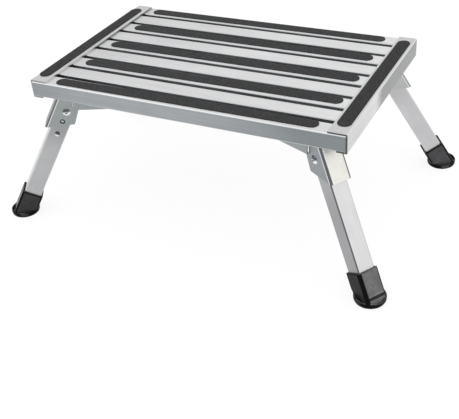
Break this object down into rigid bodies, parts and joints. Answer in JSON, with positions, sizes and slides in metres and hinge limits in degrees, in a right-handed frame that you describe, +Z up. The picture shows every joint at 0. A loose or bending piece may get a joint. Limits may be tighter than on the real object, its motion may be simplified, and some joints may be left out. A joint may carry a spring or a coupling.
{
  "type": "caravan entry step",
  "caption": "Low folding entry step: a slatted aluminium tread with grip tape on splayed folding legs with rubber feet.",
  "frame": {"origin": "centre of the footprint, on the floor", "axes": "+Z up, +X along the long side of the tread, the long front edge faces -Y"},
  "size_m": [0.7114, 0.4652, 0.2578],
  "materials": {
    "brushed_aluminium": "satin, brushed lengthwise",
    "bar_aluminium": "mill finish",
    "plate_aluminium": "mill finish",
    "leg_aluminium": "satin",
    "grip_tape": "gritted",
    "black_rubber": "semi-gloss",
    "zinc_steel": "bright zinc",
    "spring_steel": "plain",
    "nylon": "natural"
  },
  "bodies": {
    "tread": {"slat_1": "brushed_aluminium", "slat_2": "brushed_aluminium", "slat_3": "brushed_aluminium", "slat_4": "brushed_aluminium", "slat_5": "brushed_aluminium", "slat_6": "brushed_aluminium", "slat_7": "brushed_aluminium", "slat_8": "brushed_aluminium", "slat_9": "brushed_aluminium", "end_channel_left": "brushed_aluminium", "end_channel_right": "brushed_aluminium", "grip_strip_1": "grip_tape", "grip_strip_3": "grip_tape", "grip_strip_5": "grip_tape", "grip_strip_7": "grip_tape", "grip_strip_9": "grip_tape", "end_grip_left": "grip_tape", "end_grip_right": "grip_tape", "brace_front": "bar_aluminium", "brace_back": "bar_aluminium", "brace_left": "bar_aluminium", "brace_right": "bar_aluminium", "bracket_front_left": "plate_aluminium", "pivot_rivet_front_left": "zinc_steel", "bracket_front_right": "plate_aluminium", "pivot_rivet_front_right": "zinc_steel", "bracket_back_left": "plate_aluminium", "pivot_rivet_back_left": "zinc_steel", "bracket_back_right": "plate_aluminium", "pivot_rivet_back_right": "zinc_steel"},
    "leg_front_left": {"leg_tube_front_left": "leg_aluminium", "foot_front_left": "black_rubber", "pivot_bush_front_left": "nylon", "lock_spring_front_left": "spring_steel"},
    "lock_front_left": {"lock_button_front_left": "zinc_steel"},
    "leg_front_right": {"leg_tube_front_right": "leg_aluminium", "foot_front_right": "black_rubber", "pivot_bush_front_right": "nylon", "lock_spring_front_right": "spring_steel"},
    "lock_front_right": {"lock_button_front_right": "zinc_steel"},
    "leg_back_left": {"leg_tube_back_left": "leg_aluminium", "foot_back_left": "black_rubber", "pivot_bush_back_left": "nylon", "lock_spring_back_left": "spring_steel"},
    "lock_back_left": {"lock_button_back_left": "zinc_steel"},
    "leg_back_right": {"leg_tube_back_right": "leg_aluminium", "foot_back_right": "black_rubber", "pivot_bush_back_right": "nylon", "lock_spring_back_right": "spring_steel"},
    "lock_back_right": {"lock_button_back_right": "zinc_steel"}
  },
  "joints": [
    {"name": "leg_fold_front_left", "type": "hinge", "parent": "tread", "child": "leg_front_left", "pos_m": [-0.2356, -0.14615, 0.1997], "axis": [0.5417, -0.8406, 0], "range_deg": [0, 119]},
    {"name": "lock_press_front_left", "type": "slide", "parent": "leg_front_left", "child": "lock_front_left", "axis": [-0.5417, 0.8406, 0], "range_m": [0, 0.0025], "stiffness_N_per_m": 600, "springref_m": -0.002},
    {"name": "leg_fold_front_right", "type": "hinge", "parent": "tread", "child": "leg_front_right", "pos_m": [0.2356, -0.14615, 0.1997], "axis": [0.5417, 0.8406, 0], "range_deg": [0, 119]},
    {"name": "lock_press_front_right", "type": "slide", "parent": "leg_front_right", "child": "lock_front_right", "axis": [-0.5417, -0.8406, 0], "range_m": [0, 0.0025], "stiffness_N_per_m": 600, "springref_m": -0.002},
    {"name": "leg_fold_back_left", "type": "hinge", "parent": "tread", "child": "leg_back_left", "pos_m": [-0.2356, 0.14615, 0.1997], "axis": [-0.5417, -0.8406, 0], "range_deg": [0, 119]},
    {"name": "lock_press_back_left", "type": "slide", "parent": "leg_back_left", "child": "lock_back_left", "axis": [0.5417, 0.8406, 0], "range_m": [0, 0.0025], "stiffness_N_per_m": 600, "springref_m": -0.002},
    {"name": "leg_fold_back_right", "type": "hinge", "parent": "tread", "child": "leg_back_right", "pos_m": [0.2356, 0.14615, 0.1997], "axis": [-0.5417, 0.8406, 0], "range_deg": [0, 119]},
    {"name": "lock_press_back_right", "type": "slide", "parent": "leg_back_right", "child": "lock_back_right", "axis": [0.5417, -0.8406, 0], "range_m": [0, 0.0025], "stiffness_N_per_m": 600, "springref_m": -0.002}
  ]
}
